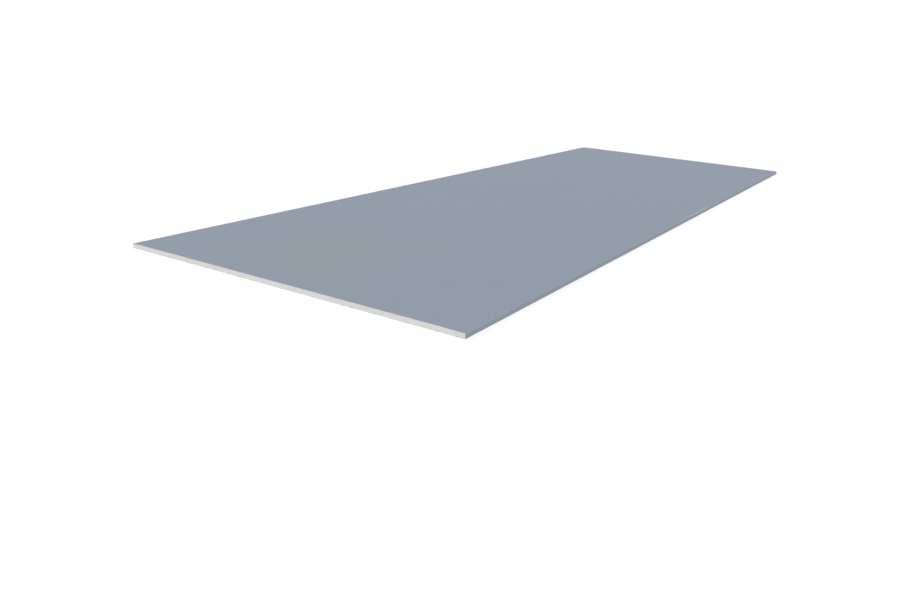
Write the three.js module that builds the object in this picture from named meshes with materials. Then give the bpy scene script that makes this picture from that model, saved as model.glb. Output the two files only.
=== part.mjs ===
// A drywall sheet: a gypsum core lined with paper, in millimetres, lying face up on its back.
// +X runs along the sheet, +Y across it and +Z up through its thickness. The origin is in the
// middle of the back, at the level that the sheet lies on.
import * as THREE from "three";

// The sheet's outer size.
const SHEET_LENGTH = 3000;
const SHEET_WIDTH = 1200;
const SHEET_THICKNESS = 15;

// The two papers. The face paper covers the face and both long edges and turns under the back,
// where it ends as a flap. The back paper is glued over the flaps and stops short of the edges.
const FACE_PAPER_THICKNESS = 0.35;
const BACK_PAPER_THICKNESS = 0.3;
const FLAP_WIDTH = 28;
const BACK_PAPER_MARGIN = 10;

// The long edges: the face slopes down in a shallow taper, to take jointing compound, and turns
// over a small round into an upright flat, which is where two sheets butt together. A second small
// round leads under the back.
const TAPER_WIDTH = 60;
const TAPER_DEPTH = 1;
const NOSE_FACE_RADIUS = 2;
const NOSE_BACK_RADIUS = 1.5;

// Half the number of straight steps along each of the nose's arcs.
const ARC_DIVISIONS = 6;

const HALF_WIDTH = SHEET_WIDTH / 2;
const FLAP_END = HALF_WIDTH - FLAP_WIDTH;
const BACK_PAPER_EDGE = HALF_WIDTH - BACK_PAPER_MARGIN;

// The line of one long edge in section, as points (y, z): from the shoulder where the taper
// starts, down the taper, round the nose and in under the back to the end of the flap. It is set
// in from the paper's outer surface by `inset`, measured square to that surface.
function edgeLine(inset) {
  const slope = Math.atan2(TAPER_DEPTH, TAPER_WIDTH);
  const taperStart = HALF_WIDTH - TAPER_WIDTH;
  // The face arc's centre lies one radius under the taper's line and one radius in from the nose.
  const faceArcY = HALF_WIDTH - NOSE_FACE_RADIUS;
  const dropToArc = (NOSE_FACE_RADIUS + (faceArcY - taperStart) * Math.sin(slope)) / Math.cos(slope);
  const faceArcZ = SHEET_THICKNESS - dropToArc;
  const backArcY = HALF_WIDTH - NOSE_BACK_RADIUS;
  const backArcZ = BACK_PAPER_THICKNESS + NOSE_BACK_RADIUS;

  const shoulderY = taperStart - inset * Math.tan(slope / 2);
  const shoulder = new THREE.Vector2(shoulderY, SHEET_THICKNESS - inset);
  const nose = new THREE.Path();
  nose.absarc(faceArcY, faceArcZ, NOSE_FACE_RADIUS - inset, Math.PI / 2 - slope, 0, true);
  nose.absarc(backArcY, backArcZ, NOSE_BACK_RADIUS - inset, 0, -Math.PI / 2, true);
  nose.lineTo(FLAP_END, BACK_PAPER_THICKNESS + inset);
  return [shoulder, ...nose.getPoints(ARC_DIVISIONS)];
}

// The same line on the sheet's other long edge, run the other way: from its flap to its shoulder.
function mirrored(points) {
  return points.map((p) => new THREE.Vector2(-p.x, p.y)).reverse();
}

// A section drawn in (y, z), carried along the whole length of the sheet.
function alongSheet(section) {
  const shape = new THREE.Shape(section);
  const geometry = new THREE.ExtrudeGeometry(shape, { depth: SHEET_LENGTH, bevelEnabled: false });
  const sectionToSheet = new THREE.Matrix4().makeBasis(
    new THREE.Vector3(0, 1, 0),
    new THREE.Vector3(0, 0, 1),
    new THREE.Vector3(1, 0, 0),
  );
  return geometry.applyMatrix4(sectionToSheet).translate(-SHEET_LENGTH / 2, 0, 0);
}

function piece(name, section, material) {
  const mesh = new THREE.Mesh(alongSheet(section), material);
  mesh.name = name;
  return mesh;
}

// The gypsum core fills the space inside the papers. Its back has a shallow step up over each
// flap, so that the back paper lies flat across both.
function coreSection() {
  const inside = edgeLine(FACE_PAPER_THICKNESS);
  return [
    ...mirrored(inside),
    ...inside,
    new THREE.Vector2(FLAP_END, BACK_PAPER_THICKNESS),
    new THREE.Vector2(-FLAP_END, BACK_PAPER_THICKNESS),
  ];
}

// The face paper is one strip, from the end of one flap over the face to the end of the other.
function facePaperSection() {
  const outside = edgeLine(0);
  const inside = edgeLine(FACE_PAPER_THICKNESS);
  const across = [...mirrored(outside), ...outside];
  const andBack = [...mirrored(inside), ...inside].reverse();
  return [...across, ...andBack];
}

// The back paper is a flat strip that the sheet lies on.
function backPaperSection() {
  return [
    new THREE.Vector2(-BACK_PAPER_EDGE, 0),
    new THREE.Vector2(BACK_PAPER_EDGE, 0),
    new THREE.Vector2(BACK_PAPER_EDGE, BACK_PAPER_THICKNESS),
    new THREE.Vector2(-BACK_PAPER_EDGE, BACK_PAPER_THICKNESS),
  ];
}

const gypsum = new THREE.MeshStandardMaterial({ color: 0xebe8e2, roughness: 0.95, metalness: 0 });
const faceLiner = new THREE.MeshStandardMaterial({ color: 0x949eaa, roughness: 0.85, metalness: 0 });
const backLiner = new THREE.MeshStandardMaterial({ color: 0xa49e94, roughness: 0.9, metalness: 0 });

const drywallSheet = new THREE.Group();
drywallSheet.name = "drywall_sheet";
drywallSheet.add(
  piece("gypsum_core", coreSection(), gypsum),
  piece("face_paper", facePaperSection(), faceLiner),
  piece("back_paper", backPaperSection(), backLiner),
);

export default drywallSheet;
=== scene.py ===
"""Drywall sheet, lying face up: a gypsum core, the paper that wraps its face and both long edges,
and the back paper."""
import math

import bpy
import numpy as np
from mathutils import Matrix, Vector


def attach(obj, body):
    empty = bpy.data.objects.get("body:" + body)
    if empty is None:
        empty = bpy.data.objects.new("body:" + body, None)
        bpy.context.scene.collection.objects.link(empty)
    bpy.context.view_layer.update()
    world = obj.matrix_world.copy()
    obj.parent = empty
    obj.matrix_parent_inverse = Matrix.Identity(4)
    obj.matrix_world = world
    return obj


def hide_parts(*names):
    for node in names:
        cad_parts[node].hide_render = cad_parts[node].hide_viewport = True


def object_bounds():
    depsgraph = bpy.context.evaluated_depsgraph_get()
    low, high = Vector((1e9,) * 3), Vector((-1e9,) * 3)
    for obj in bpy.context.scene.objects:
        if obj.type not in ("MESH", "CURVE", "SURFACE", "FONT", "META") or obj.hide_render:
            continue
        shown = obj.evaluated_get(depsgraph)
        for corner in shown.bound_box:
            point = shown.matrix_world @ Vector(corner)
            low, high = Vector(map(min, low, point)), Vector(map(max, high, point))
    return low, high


bl_info = {
    "name": "Drywall Sheet",
    "version": (1, 0, 0),
    "blender": (4, 5, 0),
    "location": "3D View > Sidebar > Drywall",
    "description": "Builds a gypsum sheet with paper-wrapped, tapered long edges and cut ends",
    "category": "Add Mesh",
}

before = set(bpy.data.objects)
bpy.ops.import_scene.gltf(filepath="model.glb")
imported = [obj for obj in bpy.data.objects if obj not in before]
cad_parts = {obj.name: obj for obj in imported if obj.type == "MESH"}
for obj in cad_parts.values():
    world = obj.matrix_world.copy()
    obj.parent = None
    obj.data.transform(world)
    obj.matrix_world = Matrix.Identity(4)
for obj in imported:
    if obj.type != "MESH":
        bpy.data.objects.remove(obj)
CAD_LOW, CAD_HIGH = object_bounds()

BODY = "root"
BAKE_MAP = "OFBake"
PAPER_GAP = "paper_gap"

MM = 0.001
DEGREE = math.pi / 180.0
SMOOTH_ANGLE = 50.0 * DEGREE


def linear_rgb(red, green, blue):
    """Linear colour of an 8-bit screen colour, by the sRGB curve."""
    share = np.array((red, green, blue)) / 255.0
    curved = ((share + 0.055) / 1.055) ** 2.4
    return tuple(float(v) for v in np.where(share <= 0.04045, share / 12.92, curved))


def length_prop(name, description, default):
    """A length in metres that can't go below nothing."""
    return bpy.props.FloatProperty(
        name=name, description=description, default=default, min=0.0,
        subtype="DISTANCE", unit="LENGTH", precision=5)


def share_prop(name, description, default):
    """A plain share or strength."""
    return bpy.props.FloatProperty(
        name=name, description=description, default=default, min=0.0, subtype="FACTOR")


def count_prop(name, description, default):
    """A whole number of things."""
    return bpy.props.IntProperty(name=name, description=description, default=default, min=0)


def colour_prop(name, description, default):
    """A linear colour."""
    return bpy.props.FloatVectorProperty(
        name=name, description=description, default=default, size=3,
        min=0.0, max=1.0, subtype="COLOR")


class DrywallSizes(bpy.types.PropertyGroup):
    """Main sizes of the sheet, as the CAD solids have them."""

    length: length_prop("Length", "Along X, between the cut ends", CAD_HIGH.x - CAD_LOW.x)
    width: length_prop("Width", "Along Y, between the long edges", CAD_HIGH.y - CAD_LOW.y)
    thickness: length_prop("Thickness", "From the back to the face", CAD_HIGH.z - CAD_LOW.z)
    face_paper: length_prop("Face paper", "Thickness of the face paper", 0.35 * MM)
    back_paper: length_prop("Back paper", "Thickness of the back paper", 0.3 * MM)
    flap: length_prop("Flap", "Face paper folded on to the back, from the long edge", 28 * MM)
    back_margin: length_prop("Back margin", "From the long edge to the back paper", 10 * MM)
    taper_width: length_prop("Taper width", "Width of the recessed band", 60 * MM)
    taper_depth: length_prop("Taper depth", "Fall of the face across the band", 1.0 * MM)
    shoulder: length_prop("Shoulder", "Half width of the soft bend that starts the taper", 12 * MM)
    nose_face_radius: length_prop("Upper nose radius", "Round from face to edge", 2 * MM)
    nose_back_radius: length_prop("Lower nose radius", "Round from edge to back", 1.5 * MM)


class DrywallRelief(bpy.types.PropertyGroup):
    """Fine relief of the paper and of the cut ends."""

    wave: length_prop("Face wave", "Depth of the slow unevenness of the face", 0.10 * MM)
    hollow: length_prop("Nose hollow", "How far the flat of the nose is drawn in", 0.12 * MM)
    crease: length_prop("Crease", "Depth of the fold lines along the nose", 0.13 * MM)
    fray: length_prop("Fray", "Unevenness of the cut paper edge", 0.45 * MM)
    back_fray: length_prop("Back paper edge", "Unevenness of the back paper's long edges", 1.1 * MM)
    saw: length_prop("Saw waves", "Slow unevenness of a cut end", 0.25 * MM)
    grain: length_prop("Grain", "Crumbly roughness of a cut end", 0.20 * MM)
    chip: length_prop("Chips", "Depth of the gypsum broken away at the paper", 0.70 * MM)
    bubble: length_prop("Bubble", "Radius of the largest common air bubble", 1.0 * MM)
    bubbles: count_prop("Bubbles", "Air bubbles opened on each cut end", 1900)
    void: length_prop("Void", "Radius of the largest void", 1.8 * MM)
    voids: count_prop("Voids", "Larger voids opened on each cut end", 60)
    seed: count_prop("Seed", "Start of the random numbers", 11)


class DrywallFinish(bpy.types.PropertyGroup):
    """Colours and surface strengths."""

    face: colour_prop("Face paper", "Blue-grey lining paper", linear_rgb(149, 159, 172))
    back: colour_prop("Back paper", "Grey-brown liner paper", linear_rgb(158, 153, 144))
    gypsum: colour_prop("Gypsum", "Chalky off-white", linear_rgb(229, 229, 227))
    cloud: share_prop("Clouds", "Slow change of tone over the paper", 0.018)
    fibre: share_prop("Fibres", "Contrast of the paper fibres", 0.07)
    mineral: share_prop("Mineral", "Contrast of the gypsum grain", 0.05)
    stain: colour_prop("Stain", "Faint warm stain on the face paper", linear_rgb(151, 159, 167))
    stain_place: length_prop("Stain place", "From the -X end to the stain's middle", 280 * MM)
    stain_aside: length_prop("Stain aside", "From the middle line to the stain's middle", 80 * MM)
    stain_reach: length_prop("Stain reach", "From the stain's middle to its rim", 330 * MM)
    # Lighter band along the -Y upper nose: a painted glint where light catches the arris, partly
    # rubbed paper.
    glint_and_rub: colour_prop("Scuff", "Rubbed paper on the -Y nose", linear_rgb(170, 177, 187))
    glint_and_rub_place: length_prop("Scuff place", "From the -X end to the scuff's middle", 1630 * MM)
    glint_and_rub_reach: length_prop("Scuff reach", "From the scuff's middle along the nose", 280 * MM)


class DrywallStudio(bpy.types.PropertyGroup):
    """Floor and lights."""

    floor: colour_prop("Floor", "Floor as the object is lit by it", (0.8, 0.8, 0.8))
    lamp: share_prop("Lamp", "Light that the soft lamp gives a surface facing it", 0.51)
    sky: share_prop("Sky", "Plain level of the surrounding light", 0.55)
    lamp_angle: bpy.props.FloatProperty(
        name="Lamp size", description="Angle across the soft lamp", default=18 * DEGREE,
        min=0.0, subtype="ANGLE", unit="ROTATION")


class DrywallSettings(bpy.types.PropertyGroup):
    """All settings of the sheet."""

    sizes: bpy.props.PointerProperty(type=DrywallSizes)
    relief: bpy.props.PointerProperty(type=DrywallRelief)
    finish: bpy.props.PointerProperty(type=DrywallFinish)
    studio: bpy.props.PointerProperty(type=DrywallStudio)


# ---------------------------------------------------------------- values of the surfaces

# Where a noise from 0 to 1 is neither high nor low.
NOISE_MIDDLE = 0.5

# Grids of the papers: steps along the section and along the sheet, the closer stations near each
# cut end in millimetres from it, and how far in from it the fraying reaches.
FACE_STEP = 2.0 * MM
FLAP_STEP = 2.5 * MM
NOSE_STEP = 0.35 * MM
BODY_STEP = 74.0 * MM
END_STATIONS = (0.0, 0.5, 1.5, 4.0, 10.0, 24.0, 48.0)
END_FADE = 4.0 * MM

# Slow waves of the papers, in cells along and across the sheet. The face's own wave dies away
# where the surface turns down, by the upward part of its normal.
FACE_WAVE_CELL = (310 * MM, 190 * MM)
BACK_WAVE_CELL = (280 * MM, 160 * MM)
BACK_WAVE_SHARE = 0.4
LEVEL_FROM = 0.9
LEVEL_FADE = 0.09

# The nose: the hollow's width as a share of the flat, the folds before and past the flat, and the
# least depth of a crease as a share of the full one.
HOLLOW_WIDTH = 0.45
UPPER_FOLD = 1.5 * MM
LOWER_FOLD = 1.2 * MM
FOLD_WIDTH = 0.32 * MM
FOLD_WANDER = 0.6 * MM
WANDER_CELL = 260 * MM
CREASE_CELL = 170 * MM
CREASE_LEAST = 0.5

# Uneven paper edges: the cell and the share of a coarse and a fine noise.
FRAY_NOISE = ((11 * MM, 0.45), (2.2 * MM, 0.55))
EDGE_NOISE = ((420 * MM, 0.7), (90 * MM, 0.3))

# Grid of a cut end: its columns crowd together towards the nose, its rows towards the papers. Its
# border lies a hair inside the papers. The last two values find the points on the flat of the nose.
CUT_CELL = 0.68 * MM
CUT_ROWS = 23
CUT_BED = 0.04 * MM
CUT_ROUND = 3.0 * MM
CUT_TURN = 0.16
ROW_CROWDING = 0.4
LEVEL_NORMAL = 1e-9
ON_FLAT = 1e-7

# Relief of a cut end.
SAW_CELL = (85 * MM, 22 * MM)
GRAIN_CELL = 5.0 * MM
MARK_CELL = 1.9 * MM
MARK_LEAN = 0.12
MARK_SHARE = 0.3
BUBBLE_CELLS = 5
BUBBLE_SKEW = 2.2
BUBBLE_DEPTH = 0.8
BUBBLE_LEAST = 0.55 * MM
BUBBLE_MARGIN = 0.09
VOID_LEAST = 1.3 * MM
VOID_MARGIN = 0.16
CHIP_CELL = 5.5 * MM
CHIP_FROM = 0.52
CHIP_FADE = 0.35
CHIP_REACH = 0.8 * MM
RAGGED_CELL = 1.6 * MM
RAGGED_SHARE = 0.6
LEAST_CUT = 0.05 * MM

# The map of a paper: the side that shows, then the hidden side, then the four rims. The side that
# shows has more room near the long edges. A cut end lies on its own map in strips.
MAP_EDGE = 0.003
SHOWN_SIDE = (MAP_EDGE, 0.90)
HIDDEN_SIDE = (0.905, 0.955)
RIM_START = 0.96
RIM_BAND = 0.006
EDGE_WEIGHT = 2.5
WEIGHT_REACH = 20 * MM
WEIGHT_FADE = 12 * MM
CUT_STRIPS = 6
CUT_STRIP_HEIGHT = 0.072

# Added to the seed, so that each noise draws its own numbers.
SEED_WAVE = 10
SEED_FOLD = 20
SEED_CREASE = 30
SEED_BACK_FRAY = 40
SEED_BACK_EDGE = 50
SEED_BACK_WAVE = 60
SEED_PLUS_END = 100
SEED_MINUS_END = 200
SEED_GRAIN = 1
SEED_MARKS = 3
SEED_BUBBLES = 4
SEED_VOIDS = 5
SEED_CHIPS = 6
SEED_RAGGED = 8
SEED_OCTAVE = 31
OCTAVE_TURNS = (0.6, 1.7, 2.8)


# ---------------------------------------------------------------- surfaces


def smoothstep(t):
    """0 below 0, 1 above 1, and 3t^2 - 2t^3 between."""
    t = np.clip(t, 0.0, 1.0)
    return t * t * (3.0 - 2.0 * t)


def spaced(start, end, step):
    """Evenly spaced values from start up to, but without, end, no further apart than step."""
    return np.linspace(start, end, max(int(math.ceil(abs(end - start) / step)), 1), endpoint=False)


def running_sum(steps):
    """Nought, and then the sum of the steps so far."""
    return np.append(0.0, np.cumsum(steps))


def lattice_noise(u, v, cell_u, cell_v, seed):
    """Smooth random height from 0 to 1 over (u, v).

    A random value stands at each corner of a lattice of cell_u by cell_v, and between the corners
    the values are mixed in both directions by the smoothstep of the place inside the cell."""
    u, v = np.broadcast_arrays(u / cell_u, v / cell_v)
    u = u - math.floor(u.min())
    v = v - math.floor(v.min())
    col = np.floor(u).astype(int)
    row = np.floor(v).astype(int)
    table = np.random.default_rng(seed).random((col.max() + 2, row.max() + 2))
    across = smoothstep(u - col)
    along = smoothstep(v - row)
    low = table[col, row] * (1 - across) + table[col + 1, row] * across
    high = table[col, row + 1] * (1 - across) + table[col + 1, row + 1] * across
    return low * (1 - along) + high * along


def line_noise(along, cell, seed):
    """Lattice noise that changes along one direction only."""
    return lattice_noise(along, 0.0, cell, 1.0, seed)


def rough_noise(u, v, cell, seed):
    """Rough height from 0 to 1: lattice noise in ever finer cells, each half as strong as the last
    and turned against it, so that no lattice direction shows."""
    total = 0.0
    full = 0.0
    for k, turn in enumerate(OCTAVE_TURNS):
        along = u * math.cos(turn) - v * math.sin(turn)
        aside = u * math.sin(turn) + v * math.cos(turn)
        share = 0.5**k
        fine = cell * share
        total = total + share * lattice_noise(along, aside, fine, fine, seed + SEED_OCTAVE * k)
        full += share
    return total / full


def bump_line(distance, width):
    """Height of a soft line: 1 on it, falling off as a bell curve with the given half width."""
    return np.exp(-((distance / width) ** 2))


def arc(y, z, radius, start, end):
    """A round about (y, z), whose normal turns from start to end: the radius times its sine and
    cosine. Returns y, z and the turns."""
    turn = spaced(start, end, NOSE_STEP / radius)
    return y + radius * np.sin(turn), z + radius * np.cos(turn), turn


def skin_section(sizes):
    """Half section of the outer skin, from the middle of the face to the end of the flap.

    In words: level across the face; a parabola over the shoulder, which goes over into the straight
    slope of the taper; an arc of the upper nose radius; straight down the nose; an arc of the lower
    nose radius; and level again along the flap. Returns y, z, the outward normal and the run, which
    is the length along the section from the top of the nose's flat."""
    half = sizes.width / 2
    shoulder = sizes.shoulder
    upper_radius = sizes.nose_face_radius
    lower_radius = sizes.nose_back_radius
    slope = math.atan2(sizes.taper_depth, sizes.taper_width)
    start = half - sizes.taper_width
    upper_y = half - upper_radius
    reach = upper_radius + (upper_y - start) * math.sin(slope)
    upper_z = sizes.thickness - reach / math.cos(slope)
    lower_y = half - lower_radius
    lower_z = sizes.back_paper + lower_radius

    face = spaced(0.0, start - shoulder, FACE_STEP)
    band = spaced(start - shoulder, upper_y + upper_radius * math.sin(slope), FACE_STEP)
    past = np.clip((band - start + shoulder) / (2 * shoulder), 0.0, 1.0)
    straight = np.maximum(band - start - shoulder, 0.0)
    band_z = sizes.thickness - math.tan(slope) * (shoulder * past**2 + straight)
    band_turn = np.arctan(math.tan(slope) * past)

    upper = arc(upper_y, upper_z, upper_radius, slope, math.pi / 2)
    lower = arc(lower_y, lower_z, lower_radius, math.pi / 2, math.pi)
    flap = np.append(spaced(lower_y, half - sizes.flap, FLAP_STEP), half - sizes.flap)
    stretches = (
        (face, sizes.thickness, 0.0), (band, band_z, band_turn), upper,
        (half, spaced(upper_z, lower_z, NOSE_STEP), math.pi / 2), lower,
        (flap, sizes.back_paper, math.pi))
    y, z, turn = np.hstack([np.broadcast_arrays(*stretch) for stretch in stretches])
    run = running_sum(np.hypot(np.diff(y), np.diff(z)))
    top = len(face) + len(band) + len(upper[0])
    return y, z, np.sin(turn), np.cos(turn), run - run[top]


def both_sides(half, sign=1.0):
    """A half section's values, and before them their mirror image, times sign."""
    return np.concatenate((sign * half[:0:-1], half))


def whole_section(sizes):
    """The skin's section from the flap at -Y over the face to the flap at +Y: the half, mirrored."""
    y, z, out_y, out_z, run = skin_section(sizes)
    return (
        both_sides(y, -1.0), both_sides(z), both_sides(out_y, -1.0), both_sides(out_z),
        both_sides(run))


def stations(length):
    """Places along X, close together near the cut ends, and each one's share in the fraying, which
    falls in a straight line from 1 at the cut to 0."""
    near = np.array(END_STATIONS) * MM
    half = length / 2
    middle = spaced(near[-1] - half, half - near[-1], BODY_STEP)[1:]
    x = np.concatenate((near - half, middle, half - near[::-1]))
    return x, np.clip(1.0 - (half - np.abs(x)) / END_FADE, 0.0, 1.0)


def frayed(place, share, along, depth, noises, seed):
    """Places drawn in from both ends of a side, each by its share of an uneven line.

    The line is the noises over the place along that end, added up in their shares, less the lowest
    value, times depth, so that its outermost point lies on the end itself."""
    lines = []
    for end in (0, 1):
        line = sum(
            part * line_noise(along, cell, seed + 2 * k + end)
            for k, (cell, part) in enumerate(noises))
        lines.append(depth * (line - line.min()))
    drawn = np.where(place[:, None] < 0, *lines)
    return place[:, None] - np.sign(place)[:, None] * share[:, None] * drawn


def grid_faces(numbers, u, v):
    """Quads of a grid of vertex numbers, and the place of each corner on the map."""
    u, v = np.broadcast_arrays(u, v)
    low = slice(None, -1)
    high = slice(1, None)
    corners = ((low, low), (high, low), (high, high), (low, high))
    quads = np.stack([numbers[c] for c in corners], -1).reshape(-1, 4)
    places = np.stack([np.stack((u[c], v[c]), -1) for c in corners], -2).reshape(-1, 4, 2)
    return quads, places


def rim_faces(front, back, along, across, start):
    """The four narrow sides between two grids of vertex numbers, each in a thin band of the map,
    one above the other from start."""
    bands = (
        (back[0], front[0], across), (front[-1], back[-1], across),
        (front[:, 0], back[:, 0], along), (back[:, -1], front[:, -1], along))
    made = []
    for k, (near, far, u) in enumerate(bands):
        low = start + k * (RIM_BAND + MAP_EDGE)
        v = np.array([[low], [low + RIM_BAND]])
        made.append(grid_faces(np.stack((near, far)), u[None, :], v))
    return made


def spread(values, low=MAP_EDGE, high=1 - MAP_EDGE):
    """values moved and scaled so that they run from low to high."""
    return low + (high - low) * (values - values.min()) / np.ptp(values)


def point_grid(x, y, z):
    """A grid of points from their coordinates."""
    return np.stack(np.broadcast_arrays(x, y, z), -1)


def numbered(sides):
    """Vertex numbers of the points of two grids, row after row, the second grid after the first."""
    return np.arange(sides[..., 0].size).reshape(sides.shape[:-1])


def build_mesh(name, sides, faces):
    """One closed mesh from the points of its two sides and its faces, with its own map, shaded
    smooth up to an angle."""
    points = sides.reshape(-1, 3).astype(np.float32)
    quads = np.concatenate([face[0] for face in faces]).astype(np.int32)
    places = np.concatenate([face[1] for face in faces]).astype(np.float32)
    mesh = bpy.data.meshes.new(name)
    mesh.vertices.add(len(points))
    mesh.vertices.foreach_set("co", points.ravel())
    mesh.loops.add(quads.size)
    mesh.loops.foreach_set("vertex_index", quads.ravel())
    mesh.polygons.add(len(quads))
    mesh.polygons.foreach_set("loop_start", np.arange(0, quads.size, 4, dtype=np.int32))
    mesh.uv_layers.new(name=BAKE_MAP).uv.foreach_set("vector", places.ravel())
    mesh.update(calc_edges=True)
    if mesh.validate():
        raise RuntimeError(f"{name} has faulty faces")
    mesh.shade_smooth()
    mesh.set_sharp_from_angle(angle=SMOOTH_ANGLE)
    return mesh


def new_object(name, data):
    """An object that holds data, linked to the scene."""
    thing = bpy.data.objects.new(name, data)
    bpy.context.scene.collection.objects.link(thing)
    return thing


def add_piece(mesh, material, node):
    """Puts a finished mesh in the scene, in place of the CAD node that it stands for."""
    mesh.materials.append(material)
    piece = new_object(mesh.name, mesh)
    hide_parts(node)
    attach(piece, BODY)


def paper_mesh(name, sides, x, front_v, back_v, rim):
    """A paper from the grids of its two sides, joined by four rims.

    On the map, x runs along both sides, front_v and back_v run up them, and rim runs along the two
    short rims."""
    front, back = numbered(sides)
    along = spread(x)
    faces = [
        grid_faces(front, along[:, None], front_v[None, :]),
        grid_faces(back.T, along[None, :], back_v[:, None]),
        *rim_faces(front, back, along, spread(rim), RIM_START)]
    return build_mesh(name, sides, faces)


def face_paper_mesh(sizes, relief):
    """The face paper: the skin's section carried along X, with an inner side one paper thickness in.

    The outer side lies below the plain section by a slow wave on the face, a hollow on the flat of
    the nose, and a bell-shaped crease along each fold, which wanders a little along the sheet."""
    y, z, out_y, out_z, run = whole_section(sizes)
    x, share = stations(sizes.length)
    across = running_sum(np.hypot(np.diff(y), np.diff(z)))
    x_grid = frayed(x, share, across, relief.fray, FRAY_NOISE, relief.seed)

    nose_flat = np.ptp(z[np.abs(y) >= sizes.width / 2 - ON_FLAT])
    level = smoothstep((out_z - LEVEL_FROM) / LEVEL_FADE)
    wave = relief.wave * lattice_noise(x_grid, y[None, :], *FACE_WAVE_CELL, relief.seed + SEED_WAVE)
    sunk = wave * level + relief.hollow * bump_line(run - nose_flat / 2, HOLLOW_WIDTH * nose_flat)
    side = np.where(y < 0, -1.0, 1.0) * sizes.width
    for k, fold in enumerate((-UPPER_FOLD, nose_flat + LOWER_FOLD)):
        place = lattice_noise(x_grid, side, WANDER_CELL, 1.0, relief.seed + SEED_FOLD + k)
        wander = FOLD_WANDER * (place - NOISE_MIDDLE)
        strength = lattice_noise(x_grid, side, CREASE_CELL, 1.0, relief.seed + SEED_CREASE + k)
        depth = relief.crease * (CREASE_LEAST + (1 - CREASE_LEAST) * strength)
        sunk = sunk + depth * bump_line(run - fold - wander, FOLD_WIDTH)

    sides = np.stack([
        point_grid(x_grid, y - depth * out_y, z - depth * out_z)
        for depth in (sunk, sizes.face_paper)])

    near_edge = smoothstep((np.abs(y) - sizes.width / 2 + WEIGHT_REACH) / WEIGHT_FADE)
    weight = 1.0 + EDGE_WEIGHT * near_edge
    unrolled = running_sum(np.diff(across) * (weight[1:] + weight[:-1]) / 2)
    return paper_mesh(
        "face_liner", sides, x, spread(unrolled, *SHOWN_SIDE), spread(unrolled, *HIDDEN_SIDE),
        across)


def back_paper_mesh(sizes, relief):
    """The back paper: a thin strip, level above and with a faint wave underneath.

    Its long edges are drawn in along uneven lines, and every other point of a row moves in with them
    by its share of the half width."""
    x, share = stations(sizes.length)
    edge = sizes.width / 2 - sizes.back_margin
    y = np.append(spaced(-edge, edge, FACE_STEP), edge)
    y_share = np.abs(y) / edge
    x_grid = frayed(x, share, y, relief.fray, FRAY_NOISE, relief.seed + SEED_BACK_FRAY)
    y_grid = frayed(y, y_share, x, relief.back_fray, EDGE_NOISE, relief.seed + SEED_BACK_EDGE).T
    wave = lattice_noise(x_grid, y_grid, *BACK_WAVE_CELL, relief.seed + SEED_BACK_WAVE)
    wave = BACK_WAVE_SHARE * relief.wave * wave * (y_share < 1)
    sides = np.stack([
        point_grid(x_grid, y_grid, z) for z in (sizes.back_paper, wave - wave.min())])
    return paper_mesh("back_liner", sides, x, spread(y, *HIDDEN_SIDE), spread(y, *SHOWN_SIDE), y)


def cut_grid(sizes):
    """Places (y, z) of a cut end: columns across the sheet, rows from the back to the face.

    The lower and upper border follow the inside of the papers, a hair deeper so that no gap shows,
    and each column is divided between them, with the rows closer together near the papers."""
    y, z, out_y, out_z, _ = skin_section(sizes)
    bed = sizes.face_paper - CUT_BED
    skin_y = y - bed * out_y
    skin_z = z - bed * out_z
    tip = sizes.width / 2 - bed
    flat = np.flatnonzero(np.abs(out_z) <= LEVEL_NORMAL)
    above = slice(0, flat[0] + 1)
    under = slice(None, flat[-1] - 1, -1)
    round_y = tip - (1 - np.sin(spaced(0.0, math.pi / 2, CUT_TURN))) * CUT_ROUND
    half = np.concatenate((spaced(0.0, tip - CUT_ROUND, CUT_CELL), round_y, (tip,)))
    upper = np.interp(half, skin_y[above], skin_z[above])
    lower = np.interp(half, skin_y[under], skin_z[under])
    lower = np.where(half < sizes.width / 2 - sizes.flap, sizes.back_paper - CUT_BED, lower)
    columns = both_sides(half, -1.0)
    upper = both_sides(upper)
    lower = both_sides(lower)
    share = np.linspace(0.0, 1.0, CUT_ROWS)
    share = (1 - ROW_CROWDING) * share + ROW_CROWDING * smoothstep(share)
    z_grid = lower[:, None] + (upper - lower)[:, None] * share[None, :]
    return columns, z_grid, share


def opened_bubbles(columns, z_grid, count, largest, smallest, keep_off, seed):
    """Depth of round air bubbles that the cut has opened.

    Each bubble is a ball of its own radius, small ones more common, with its centre near the cut.
    Its depth is a share of the square root of radius squared less distance squared, and each point
    keeps the deepest bubble over it. keep_off is the share of the height left free at each paper."""
    rng = np.random.default_rng(seed)
    each = (count, 1, 1)
    radius = smallest + (largest - smallest) * rng.random(each) ** BUBBLE_SKEW
    col = rng.integers(0, len(columns), each)
    share = keep_off + (1 - 2 * keep_off) * rng.random(each)
    centre_y = columns[col] + CUT_CELL * (rng.random(each) - NOISE_MIDDLE)
    centre_z = z_grid[col, 0] + (z_grid[col, -1] - z_grid[col, 0]) * share
    row = np.rint(share * (z_grid.shape[1] - 1)).astype(int)
    reach = np.arange(-BUBBLE_CELLS, BUBBLE_CELLS + 1)
    cols, rows = np.broadcast_arrays(
        np.clip(col + reach[:, None], 0, len(columns) - 1),
        np.clip(row + reach, 0, z_grid.shape[1] - 1))
    inside = radius**2 - (columns[cols] - centre_y) ** 2 - (z_grid[cols, rows] - centre_z) ** 2
    depth = np.zeros(z_grid.shape)
    np.maximum.at(depth, (cols, rows), np.sqrt(np.maximum(inside, 0.0)) * BUBBLE_DEPTH)
    return depth


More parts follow.
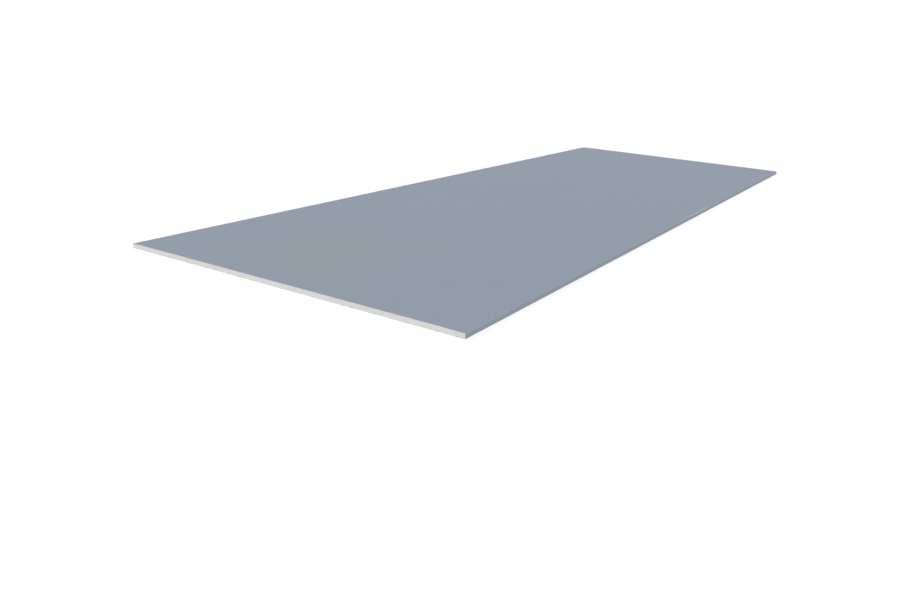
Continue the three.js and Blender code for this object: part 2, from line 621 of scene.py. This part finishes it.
def cut_relief(columns, z_grid, relief, seed):
    """How far each point of a cut end lies behind the cut plane.

    The sum of slow waves across the sheet, crumbly grain, faint upright marks of the blade, opened
    bubbles, which keep off the denser layer beside the papers, and chips that start at the papers and
    die away over about a millimetre. The least sum is moved to a hair behind the plane."""
    y = np.broadcast_to(columns[:, None], z_grid.shape)
    slow = relief.saw * lattice_noise(y, z_grid, *SAW_CELL, seed)
    grain = relief.grain * rough_noise(y, z_grid, GRAIN_CELL, seed + SEED_GRAIN)
    leaning = line_noise(y + MARK_LEAN * z_grid, MARK_CELL, seed + SEED_MARKS)
    marks = MARK_SHARE * relief.grain * leaning
    bubbles = opened_bubbles(
        columns, z_grid, relief.bubbles, relief.bubble, BUBBLE_LEAST, BUBBLE_MARGIN,
        seed + SEED_BUBBLES)
    voids = opened_bubbles(
        columns, z_grid, relief.voids, relief.void, VOID_LEAST, VOID_MARGIN, seed + SEED_VOIDS)
    chips = np.zeros(z_grid.shape)
    for k, border in enumerate((0, -1)):
        away = np.abs(z_grid - z_grid[:, border][:, None])
        place = line_noise(columns, CHIP_CELL, seed + SEED_CHIPS + k)
        broken = smoothstep((place - CHIP_FROM) / CHIP_FADE)
        ragged = line_noise(columns, RAGGED_CELL, seed + SEED_RAGGED + k)
        ragged = 1 - RAGGED_SHARE + RAGGED_SHARE * ragged
        chips += relief.chip * (broken * ragged)[:, None] * bump_line(away, CHIP_REACH)
    total = slow + grain + marks + np.maximum(bubbles, voids) + chips
    return total - total.min() + LEAST_CUT


def cut_strips(numbers, columns, share, end):
    """A cut end's grid as strips of equal width, stacked on the map: end 0 is at +X, end 1 at -X."""
    bounds = np.searchsorted(columns, np.linspace(columns[0], columns[-1], CUT_STRIPS + 1))
    made = []
    for k in range(CUT_STRIPS):
        part = slice(bounds[k], bounds[k + 1] + 1)
        low = MAP_EDGE + (end * CUT_STRIPS + k) * (CUT_STRIP_HEIGHT + MAP_EDGE)
        u = spread(columns[part])[:, None]
        v = spread(share, low, low + CUT_STRIP_HEIGHT)[None, :]
        ids = numbers[part]
        made.append(grid_faces(ids.T, u.T, v.T) if end else grid_faces(ids, u, v))
    return made


def gypsum_mesh(sizes, relief):
    """The gypsum core: two cut ends with their relief, joined along the sheet under the papers.

    An attribute holds each point's distance from the nearest paper."""
    columns, z_grid, share = cut_grid(sizes)
    ends = []
    for side, seed in ((1.0, SEED_PLUS_END), (-1.0, SEED_MINUS_END)):
        sunk = cut_relief(columns, z_grid, relief, relief.seed + seed)
        ends.append(point_grid(side * (sizes.length / 2 - sunk), columns[:, None], z_grid))
    ends = np.stack(ends)
    front, back = numbered(ends)
    hidden = 2 * CUT_STRIPS * (CUT_STRIP_HEIGHT + MAP_EDGE) + MAP_EDGE
    faces = [
        *cut_strips(front, columns, share, 0),
        *cut_strips(back, columns, share, 1),
        *rim_faces(front, back, spread(columns), spread(share), hidden)]
    mesh = build_mesh("gypsum_slab", ends, faces)
    gap = np.minimum(z_grid - z_grid[:, :1], z_grid[:, -1:] - z_grid)
    gap = np.minimum(gap, (columns[-1] - np.abs(columns))[:, None])
    layer = mesh.attributes.new(PAPER_GAP, "FLOAT", "POINT")
    layer.data.foreach_set("value", np.tile(gap.ravel(), 2).astype(np.float32))
    return mesh


# ---------------------------------------------------------------- values of the materials

# Kinds of noise, as (detail, roughness).
EVEN_NOISE = (2.0, 0.5)
CLOUDY_NOISE = (3.0, 0.6)
LINE_NOISE = (1.0, 0.4)
LIVELY_NOISE = (2.0, 0.6)
SPECK_NOISE = (1.0, 0.5)
MINERAL_NOISE = (5.0, 0.72)

# Paper: fibres, as (turn, length, width, thinness of the line), the felt between them, and specks.
FIBRES = (
    (6 * DEGREE, 5.0 * MM, 0.55 * MM, 0.05),
    (-19 * DEGREE, 3.4 * MM, 0.45 * MM, 0.05),
    (48 * DEGREE, 2.4 * MM, 0.50 * MM, 0.035))
FIBRE_HEIGHT = 0.45
FIBRE_TONE = 5.0
FIBRE_PATCH = 3.5 * MM
FIBRE_ROUGH = -0.08
FELT_SIZE = 0.9 * MM
FELT_HEIGHT = 0.8
SPECK_SIZE = 1.1 * MM
SPECK_FROM = 0.70
SPECK_FULL = 0.78
SPECK_TONE = -2.0
PAPER_BUMP = 0.05 * MM
PAPER_SHINE = 0.06
FACE_ROUGH = 0.86
BACK_ROUGH = 0.93
BACK_FIBRES = 1.8

# Tone clouds, broad, small and drawn out along the sheet. Their sum is moved to lie about nought.
CLOUD_SIZE = 420 * MM
SMALL_CLOUD_SIZE = 26 * MM
STREAK_SIZES = (1.7, 30 * MM, 30 * MM)
CLOUD_SHARE = 0.6
CLOUD_GAIN = 2.0
CLOUD_MIDDLE = 2.2

# Uneven rims of the patches: the size of their lobes, and in shares of the reach the lobes' height
# and the part that shows in full.
STAIN_RIM = (130 * MM, 1.8, 0.1)
# The painted glint, partly rubbed paper, on the -Y nose: its rim, and its reach across and down.
GLINT_AND_RUB_RIM = (9 * MM, 1.0, 0.2)
GLINT_AND_RUB_ACROSS = 8 * MM
GLINT_AND_RUB_DOWN = 3 * MM

# Gypsum: grain, pores moved off their cells, the painted shade in them, and the dense layer beside
# the papers.
GYPSUM_CLOUDS = 0.8
MINERAL_SIZE = 0.9 * MM
MINERAL_TONE = 2.4
MINERAL_HEIGHT = 0.20
MINERAL_ROUGH = 0.08
WARP_SIZE = 0.6 * MM
WARP = 0.26 * MM
DENSE_LAYER = 0.15 * MM
POROUS_FROM = 1.2 * MM
FINE_PORES = {"Cell": 0.72 * MM, "Share": 0.8}
LARGE_PORES = {"Cell": 1.75 * MM, "Share": 0.36}
PORE_RADIUS = 0.44
PORE_LEAST = 0.001
PORE_RIM = 0.72
# How much darker the pores are drawn: painted shade in them.
PORE_PAINTED_SHADE = -3.2
PORE_HEIGHT = -0.8
GYPSUM_BUMP = 1.0 * MM
GYPSUM_ROUGH = 0.86
GYPSUM_SHINE = 0.12

WHITE = (1.0, 1.0, 1.0)

# Sockets of a Mix node set to colour.
MIX_FACTOR = 0
MIX_PLAIN = 6
MIX_CHANGED = 7
MIX_RESULT = 2


# ---------------------------------------------------------------- materials


def feed(tree, node, inputs):
    """Gives a node its inputs, by name or number: the link from another socket, or a plain value."""
    for key, value in inputs.items():
        socket = node.inputs[key]
        if isinstance(value, bpy.types.NodeSocket):
            tree.links.new(value, socket)
        elif socket.type == "RGBA":
            socket.default_value = (*value, 1.0)
        else:
            socket.default_value = value


def new_node(tree, kind, settings, inputs):
    """A node with its settings and inputs."""
    node = tree.nodes.new(kind)
    for key, value in settings.items():
        setattr(node, key, value)
    feed(tree, node, inputs)
    return node


def maths(tree, operation, *terms, clamp=False):
    """One Math node over sockets or numbers, and its result."""
    node = new_node(
        tree, "ShaderNodeMath", {"operation": operation, "use_clamp": clamp},
        dict(enumerate(terms)))
    return node.outputs[0]


def vector_maths(tree, operation, *terms, output="Vector"):
    """One Vector Math node over sockets or vectors, and its result."""
    node = new_node(
        tree, "ShaderNodeVectorMath", {"operation": operation}, dict(enumerate(terms)))
    return node.outputs[output]


def remap(tree, value, low, high, to_low=0.0, to_high=1.0):
    """value moved from low..high to to_low..to_high by a smooth step."""
    node = new_node(
        tree, "ShaderNodeMapRange", {"interpolation_type": "SMOOTHSTEP"},
        {"Value": value, "From Min": low, "From Max": high, "To Min": to_low, "To Max": to_high})
    return node.outputs["Result"]


def noise(tree, vector, size, kind=EVEN_NOISE, output="Fac"):
    """Noise of a kind over vector, whose features are about size across."""
    detail, roughness = kind
    node = new_node(
        tree, "ShaderNodeTexNoise", {},
        {"Vector": vector, "Scale": 1.0 / size, "Detail": detail, "Roughness": roughness})
    return node.outputs[output]


def centred(tree, value):
    """A noise from 0 to 1, moved to lie about nought."""
    return maths(tree, "SUBTRACT", value, NOISE_MIDDLE)


def stretched(tree, vector, angle, sizes):
    """vector turned by angle about Z and measured in the three sizes, which stretches a pattern."""
    turned = new_node(
        tree, "ShaderNodeVectorRotate", {"rotation_type": "Z_AXIS"},
        {"Vector": vector, "Angle": angle})
    return vector_maths(tree, "MULTIPLY", turned.outputs["Vector"], [1.0 / s for s in sizes])


def new_group(name, inputs, outputs):
    """An empty shader node group with sockets by name and kind, the sockets that its inputs come
    from, and the node that its outputs go to."""
    tree = bpy.data.node_groups.new(name, "ShaderNodeTree")
    for in_out, sockets in (("INPUT", inputs), ("OUTPUT", outputs)):
        for label, kind in sockets.items():
            tree.interface.new_socket(label, in_out=in_out, socket_type="NodeSocket" + kind)
    given = tree.nodes.new("NodeGroupInput").outputs
    return tree, given, tree.nodes.new("NodeGroupOutput")


def fibre_group():
    """Paper fibres: thin wandering lines, most of them along the sheet, with a height for the bump.

    A line shows where a stretched noise crosses its middle, and the height adds soft felt to it."""
    tree, given, made = new_group(
        "Paper fibres", {"Vector": "Vector"}, {"Lines": "Float", "Height": "Float"})
    lines = None
    for angle, length, width, thin in FIBRES:
        vector = stretched(tree, given["Vector"], angle, (length, width, width))
        off = maths(tree, "ABSOLUTE", centred(tree, noise(tree, vector, 1.0, LINE_NOISE)))
        line = remap(tree, off, 0.0, thin, 1.0, 0.0)
        lines = line if lines is None else maths(tree, "MAXIMUM", lines, line)
    felt = noise(tree, given["Vector"], FELT_SIZE, CLOUDY_NOISE)
    felt = maths(tree, "MULTIPLY", felt, FELT_HEIGHT)
    height = maths(tree, "MULTIPLY_ADD", lines, FIBRE_HEIGHT, felt)
    feed(tree, made, {"Lines": lines, "Height": height})
    return tree


def cloud_group():
    """Slow change of tone from -1 to 1: broad clouds, small clouds and streaks along the sheet."""
    tree, given, made = new_group("Tone clouds", {"Vector": "Vector"}, {"Tone": "Float"})
    vector = given["Vector"]
    broad = noise(tree, vector, CLOUD_SIZE)
    small = noise(tree, vector, SMALL_CLOUD_SIZE, CLOUDY_NOISE)
    streak = noise(tree, stretched(tree, vector, 0.0, STREAK_SIZES), 1.0, CLOUDY_NOISE)
    mixed = maths(tree, "MULTIPLY_ADD", streak, CLOUD_SHARE, broad)
    mixed = maths(tree, "MULTIPLY_ADD", small, CLOUD_SHARE, mixed)
    tone = maths(tree, "MULTIPLY_ADD", mixed, CLOUD_GAIN, -CLOUD_MIDDLE)
    feed(tree, made, {"Tone": tone})
    return tree


def pore_group():
    """Air bubbles that the cut has opened, one ball of its own size in some of the cells.

    Depth is in metres: the cell times the square root of radius squared less distance squared.
    Mask is 1 inside a ball and fades out at its rim."""
    tree, given, made = new_group(
        "Air pores", {"Vector": "Vector", "Cell": "Float", "Share": "Float"},
        {"Mask": "Float", "Depth": "Float"})
    cell = given["Cell"]
    density = maths(tree, "DIVIDE", 1.0, cell)
    cells = new_node(
        tree, "ShaderNodeTexVoronoi", {"feature": "F1"},
        {"Vector": given["Vector"], "Scale": density, "Randomness": 1.0})
    chance = new_node(tree, "ShaderNodeSeparateColor", {}, {"Color": cells.outputs["Color"]})
    empty = maths(tree, "SUBTRACT", 1.0, given["Share"])
    radius = new_node(
        tree, "ShaderNodeMapRange", {},
        {"Value": chance.outputs["Red"], "From Min": empty, "To Max": PORE_RADIUS})
    radius = maths(tree, "MAXIMUM", radius.outputs["Result"], PORE_LEAST)
    away = maths(tree, "DIVIDE", cells.outputs["Distance"], radius)
    squared = maths(tree, "MULTIPLY", away, away)
    dome = maths(tree, "SQRT", maths(tree, "SUBTRACT", 1.0, squared, clamp=True))
    depth = maths(tree, "MULTIPLY", maths(tree, "MULTIPLY", dome, radius), cell)
    feed(tree, made, {"Mask": remap(tree, away, PORE_RIM, 1.0, 1.0, 0.0), "Depth": depth})
    return tree


def tone_group():
    """A colour made lighter or darker: colour times one plus tone times strength."""
    tree, given, made = new_group(
        "Tone on colour", {"Color": "Color", "Tone": "Float", "Strength": "Float"},
        {"Color": "Color"})
    factor = maths(tree, "MULTIPLY_ADD", given["Tone"], given["Strength"], 1.0)
    scaled = new_node(
        tree, "ShaderNodeVectorMath", {"operation": "SCALE"},
        {0: given["Color"], "Scale": factor})
    feed(tree, made, {"Color": scaled.outputs["Vector"]})
    return tree


def use_group(tree, name, maker, inputs):
    """The outputs of a shared group, which its maker makes on its first use."""
    group = bpy.data.node_groups.get(name) or maker()
    return new_node(tree, "ShaderNodeGroup", {"node_tree": group}, inputs).outputs


def toned(tree, colour, tone, strength):
    """colour, a socket or a linear colour, changed by tone through the shared group."""
    inputs = {"Color": colour, "Tone": tone, "Strength": strength}
    return use_group(tree, "Tone on colour", tone_group, inputs)["Color"]


def new_material(name, plain_colour):
    """A material with its nodes and its Principled shader."""
    material = bpy.data.materials.new(name)
    material.use_nodes = True
    material.diffuse_color = (*plain_colour, 1.0)
    return material, material.node_tree, material.node_tree.nodes["Principled BSDF"]


def own_place(tree):
    """Object coordinates, in metres, over which every pattern is laid."""
    return tree.nodes.new("ShaderNodeTexCoord").outputs["Object"]


def finish_shader(tree, shader, colour, roughness, height, depth, shine):
    """Gives the shader its colour, roughness, shine and a bump of the given depth in metres."""
    bump = new_node(
        tree, "ShaderNodeBump", {}, {"Strength": 1.0, "Distance": depth, "Height": height})
    feed(tree, shader, {
        "Base Color": colour, "Roughness": roughness, "Specular IOR Level": shine,
        "Normal": bump.outputs["Normal"]})


def mixed_colour(tree, factor, plain, changed):
    """plain where factor is 0 and changed where it is 1, mixed between."""
    node = new_node(
        tree, "ShaderNodeMix", {"data_type": "RGBA"},
        {MIX_FACTOR: factor, MIX_PLAIN: plain, MIX_CHANGED: changed})
    return node.outputs[MIX_RESULT]


def patch_mask(tree, place, middle, reach, rim):
    """How much of a patch shows: 1 near its middle, 0 past its rim and a smooth step between.

    The distance from the middle is measured in the reach along each axis, and a noise moves it up
    and down, which gives the patch its lobes."""
    lobes, ragged, core = rim
    scaled = vector_maths(tree, "DIVIDE", place, reach)
    middle = [m / r for m, r in zip(middle, reach)]
    away = vector_maths(tree, "DISTANCE", scaled, middle, output="Value")
    uneven = centred(tree, noise(tree, place, lobes, CLOUDY_NOISE))
    away = maths(tree, "MULTIPLY_ADD", uneven, ragged, away)
    return remap(tree, away, core, 1.0, 1.0, 0.0)


def face_patches(sizes, finish):
    """The stain on the face and the lighter band on the -Y nose, a painted glint and partly rubbed
    paper: colour, middle, reach and rim of each.
    """
    stain_at = (CAD_LOW.x + finish.stain_place, finish.stain_aside, CAD_HIGH.z)
    glint_and_rub_at = (CAD_LOW.x + finish.glint_and_rub_place, CAD_LOW.y, CAD_HIGH.z - sizes.taper_depth)
    return (
        (finish.stain, stain_at, (finish.stain_reach,) * 3, STAIN_RIM),
        (finish.glint_and_rub, glint_and_rub_at, (finish.glint_and_rub_reach, GLINT_AND_RUB_ACROSS, GLINT_AND_RUB_DOWN), GLINT_AND_RUB_RIM))


def paper_material(name, colour, finish, fibre, rough, patches=()):
    """Lining paper: its patches, tone clouds, fibres and specks in the colour, and a soft bump."""
    material, tree, shader = new_material(name, colour)
    place = own_place(tree)
    for changed, *patch in patches:
        colour = mixed_colour(tree, patch_mask(tree, place, *patch), colour, changed)
    clouds = use_group(tree, "Tone clouds", cloud_group, {"Vector": place})
    fibres = use_group(tree, "Paper fibres", fibre_group, {"Vector": place})
    shaded = toned(tree, colour, clouds["Tone"], finish.cloud)
    lively = centred(tree, noise(tree, place, FIBRE_PATCH, LIVELY_NOISE))
    drawn = maths(tree, "MULTIPLY", fibres["Lines"], lively)
    shaded = toned(tree, shaded, drawn, FIBRE_TONE * fibre)
    speck = remap(tree, noise(tree, place, SPECK_SIZE, SPECK_NOISE), SPECK_FROM, SPECK_FULL)
    shaded = toned(tree, shaded, speck, SPECK_TONE * fibre)
    height = fibres["Height"]
    roughness = maths(tree, "MULTIPLY_ADD", height, FIBRE_ROUGH, rough)
    finish_shader(tree, shader, shaded, roughness, height, PAPER_BUMP, PAPER_SHINE)
    return material


def gypsum_material(colour, finish):
    """Set gypsum: slow tones, chalky grain, air pores of two sizes and, beside the papers, a denser
    layer, where the pores fade out. The pores are drawn darker with painted shade."""
    material, tree, shader = new_material("Gypsum core", colour)
    place = own_place(tree)
    clouds = use_group(tree, "Tone clouds", cloud_group, {"Vector": place})
    shaded = toned(tree, colour, clouds["Tone"], GYPSUM_CLOUDS * finish.cloud)
    grain = noise(tree, place, MINERAL_SIZE, MINERAL_NOISE)
    shaded = toned(tree, shaded, centred(tree, grain), MINERAL_TONE * finish.mineral)

    shift = noise(tree, place, WARP_SIZE, output="Color")
    ragged = vector_maths(tree, "MULTIPLY_ADD", shift, (WARP, WARP, WARP), place)
    gap = new_node(tree, "ShaderNodeAttribute", {"attribute_name": PAPER_GAP}, {})
    porous = remap(tree, gap.outputs["Fac"], DENSE_LAYER, POROUS_FROM)
    fine, large = (
        use_group(tree, "Air pores", pore_group, {"Vector": ragged, **pores})
        for pores in (FINE_PORES, LARGE_PORES))
    mask, depth = (
        maths(tree, "MULTIPLY", maths(tree, "MAXIMUM", fine[key], large[key]), porous)
        for key in ("Mask", "Depth"))
    # Painted shade: the pores are drawn darker, where shade would fall in them.
    shaded = toned(tree, shaded, mask, PORE_PAINTED_SHADE * finish.mineral)
    in_mm = maths(tree, "MULTIPLY", depth, PORE_HEIGHT / MM)
    height = maths(tree, "MULTIPLY_ADD", grain, MINERAL_HEIGHT, in_mm)
    roughness = maths(tree, "MULTIPLY_ADD", grain, MINERAL_ROUGH, GYPSUM_ROUGH)
    finish_shader(tree, shader, shaded, roughness, height, GYPSUM_BUMP, GYPSUM_SHINE)
    return material


# ---------------------------------------------------------------- stage

# Floor: half its side, and the glow that lifts it to white where it is seen.
FLOOR_REACH = 90.0
FLOOR_LIFT = 0.07

# Direction from the sheet to the lamp.
LAMP_FROM = (-0.49, -0.40, 0.785)

# Camera: its place about its target, then its lens, its frame and the distance of its axis to the
# right of the frame's middle in pixels.
VIEW_AZIMUTH = -61.397 * DEGREE
VIEW_ELEVATION = 19.210 * DEGREE
VIEW_ROLL = 3.029 * DEGREE
VIEW_DISTANCE = 1.94027
VIEW_TARGET = (-1.20172, -0.62378, 0.015)
LENS_PIXELS = 756.087
FRAME_WIDTH = 900
AXIS_OFFSET = 90
SENSOR_WIDTH = 36.0


def seen_directly(tree):
    """1 for rays from the camera, off glossy surfaces or through glass, and 0 for the light itself."""
    path = tree.nodes.new("ShaderNodeLightPath")
    shown = maths(tree, "MAXIMUM", path.outputs["Is Camera Ray"], path.outputs["Is Glossy Ray"])
    return maths(tree, "MAXIMUM", shown, path.outputs["Is Transmission Ray"])


def floor_mesh():
    """A level square at height nought: a grid of two by two corners."""
    sides = (-FLOOR_REACH, FLOOR_REACH)
    x, y = np.meshgrid(sides, sides, indexing="ij")
    points = np.stack((x, y, np.zeros_like(x)), -1).reshape(-1, 3)
    mesh = bpy.data.meshes.new("floor")
    mesh.from_pydata(points.tolist(), [], [(0, 2, 3, 1)])
    mesh.update()
    return mesh


def floor_material(colour):
    """White where it is seen, and the given colour where it lights the sheet. It takes shadow."""
    material, tree, shader = new_material("Studio floor", colour)
    shown = mixed_colour(tree, seen_directly(tree), colour, WHITE)
    lift = maths(tree, "MULTIPLY", seen_directly(tree), FLOOR_LIFT)
    feed(tree, shader, {
        "Base Color": shown, "Roughness": 1.0, "Specular IOR Level": 0.0,
        "Emission Color": WHITE, "Emission Strength": lift})
    return material


def surrounding_light(level):
    """A world that shows white and lights everything evenly at the given level."""
    world = bpy.data.worlds.new("Studio")
    world.use_nodes = True
    tree = world.node_tree
    strength = maths(tree, "MULTIPLY_ADD", seen_directly(tree), 1.0 - level, level)
    feed(tree, tree.nodes["Background"], {"Color": WHITE, "Strength": strength})
    return world


def camera_matrix():
    """Place and turn of the camera, from its azimuth, elevation, roll and distance to its target."""
    flat = math.cos(VIEW_ELEVATION)
    back = Vector((
        math.sin(VIEW_AZIMUTH) * flat, -math.cos(VIEW_AZIMUTH) * flat, math.sin(VIEW_ELEVATION)))
    right = (-back).cross(Vector((0.0, 0.0, 1.0))).normalized()
    up = right.cross(-back)
    turned_right = math.cos(VIEW_ROLL) * right + math.sin(VIEW_ROLL) * up
    turned_up = -math.sin(VIEW_ROLL) * right + math.cos(VIEW_ROLL) * up
    turn = Matrix((turned_right, turned_up, back)).transposed()
    return Matrix.Translation(Vector(VIEW_TARGET) + VIEW_DISTANCE * back) @ turn.to_4x4()


# ---------------------------------------------------------------- operators


class DRYWALL_OT_face_paper(bpy.types.Operator):
    """Makes the face paper that wraps both long edges"""

    bl_idname = "drywall.face_paper"
    bl_label = "Face Paper"

    def execute(self, context):
        settings = context.scene.drywall
        finish = settings.finish
        material = paper_material(
            "Face paper", finish.face, finish, finish.fibre, FACE_ROUGH,
            face_patches(settings.sizes, finish))
        mesh = face_paper_mesh(settings.sizes, settings.relief)
        add_piece(mesh, material, "face_paper")
        return {"FINISHED"}


class DRYWALL_OT_gypsum_core(bpy.types.Operator):
    """Makes the gypsum core with its two cut ends"""

    bl_idname = "drywall.gypsum_core"
    bl_label = "Gypsum Core"

    def execute(self, context):
        settings = context.scene.drywall
        material = gypsum_material(settings.finish.gypsum, settings.finish)
        mesh = gypsum_mesh(settings.sizes, settings.relief)
        add_piece(mesh, material, "gypsum_core")
        return {"FINISHED"}


class DRYWALL_OT_back_paper(bpy.types.Operator):
    """Makes the back paper that covers the flaps"""

    bl_idname = "drywall.back_paper"
    bl_label = "Back Paper"

    def execute(self, context):
        settings = context.scene.drywall
        finish = settings.finish
        material = paper_material(
            "Back paper", finish.back, finish, BACK_FIBRES * finish.fibre, BACK_ROUGH)
        mesh = back_paper_mesh(settings.sizes, settings.relief)
        add_piece(mesh, material, "back_paper")
        return {"FINISHED"}


class DRYWALL_OT_stage(bpy.types.Operator):
    """Makes the floor, the lights and the camera"""

    bl_idname = "drywall.stage"
    bl_label = "Stage"

    def execute(self, context):
        scene = context.scene
        studio = scene.drywall.studio
        floor = new_object("floor", floor_mesh())
        floor.data.materials.append(floor_material(studio.floor))

        lamp = bpy.data.lights.new("Soft lamp", "SUN")
        lamp.energy = studio.lamp * math.pi
        lamp.angle = studio.lamp_angle
        holder = new_object("Soft lamp", lamp)
        holder.rotation_euler = (-Vector(LAMP_FROM)).to_track_quat("-Z", "Y").to_euler()
        scene.world = surrounding_light(studio.sky)

        camera = bpy.data.cameras.new("Camera")
        camera.sensor_width = SENSOR_WIDTH
        camera.lens = LENS_PIXELS * SENSOR_WIDTH / FRAME_WIDTH
        camera.shift_x = -AXIS_OFFSET / FRAME_WIDTH
        viewer = new_object("Camera", camera)
        viewer.matrix_world = camera_matrix()
        scene.camera = viewer
        scene.view_settings.view_transform = "Standard"
        return {"FINISHED"}


class DRYWALL_PT_panel(bpy.types.Panel):
    """Lists the steps and their settings"""

    bl_idname = "DRYWALL_PT_panel"
    bl_label = "Drywall Sheet"
    bl_space_type = "VIEW_3D"
    bl_region_type = "UI"
    bl_category = "Drywall"

    def draw(self, context):
        settings = context.scene.drywall
        for name in type(settings).__annotations__:
            group = getattr(settings, name)
            box = self.layout.box()
            box.label(text=name.title())
            for key in type(group).__annotations__:
                box.prop(group, key)
        for step in STEPS:
            self.layout.operator(step.bl_idname)


STEPS = (DRYWALL_OT_gypsum_core, DRYWALL_OT_face_paper, DRYWALL_OT_back_paper, DRYWALL_OT_stage)
CLASSES = (
    DrywallSizes, DrywallRelief, DrywallFinish, DrywallStudio, DrywallSettings, *STEPS,
    DRYWALL_PT_panel)


def register():
    for cls in CLASSES:
        bpy.utils.register_class(cls)
    bpy.types.Scene.drywall = bpy.props.PointerProperty(type=DrywallSettings)


def unregister():
    del bpy.types.Scene.drywall
    for cls in reversed(CLASSES):
        bpy.utils.unregister_class(cls)


def main():
    register()
    bpy.ops.drywall.gypsum_core()
    bpy.ops.drywall.face_paper()
    bpy.ops.drywall.back_paper()
    bpy.ops.drywall.stage()


if __name__ == "__main__":
    main()
